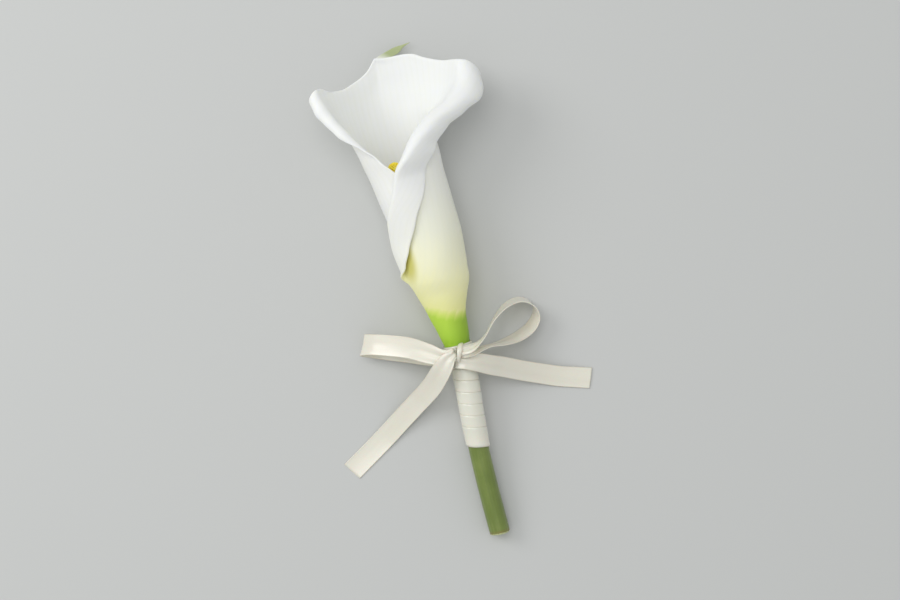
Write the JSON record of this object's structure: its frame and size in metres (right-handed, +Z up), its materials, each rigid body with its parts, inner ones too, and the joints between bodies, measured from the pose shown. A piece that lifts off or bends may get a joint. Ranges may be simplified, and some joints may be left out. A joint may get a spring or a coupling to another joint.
{
  "type": "boutonniere",
  "caption": "Calla lily boutonniere lying on its back: white rolled spathe round a yellow spadix, lime base, cut green stem wrapped in ivory satin ribbon with a bow.",
  "frame": {"origin": "middle of the whole's footprint, on the surface it lies on", "axes": "+Y from the cut end of the stem to the tip of the flower, +Z up from the surface, +X to the right seen from above"},
  "size_m": [0.0758, 0.144, 0.0273],
  "materials": {
    "stem": null,
    "stem_wrap": "ivory single-face satin ribbon",
    "spathe": null,
    "spadix": null,
    "bow_band": "ivory single-face satin ribbon",
    "bow_knot": "ivory single-face satin ribbon",
    "bow_loop_left": "ivory single-face satin ribbon",
    "bow_loop_right": "ivory single-face satin ribbon",
    "bow_tail_left": "ivory single-face satin ribbon",
    "bow_tail_right": "ivory single-face satin ribbon"
  },
  "bodies": {
    "root": {"stem": "stem", "stem_wrap": "stem_wrap", "spathe": "spathe", "spadix": "spadix", "bow_band": "bow_band", "bow_knot": "bow_knot", "bow_loop_left": "bow_loop_left", "bow_loop_right": "bow_loop_right", "bow_tail_left": "bow_tail_left", "bow_tail_right": "bow_tail_right"}
  },
  "joints": []
}
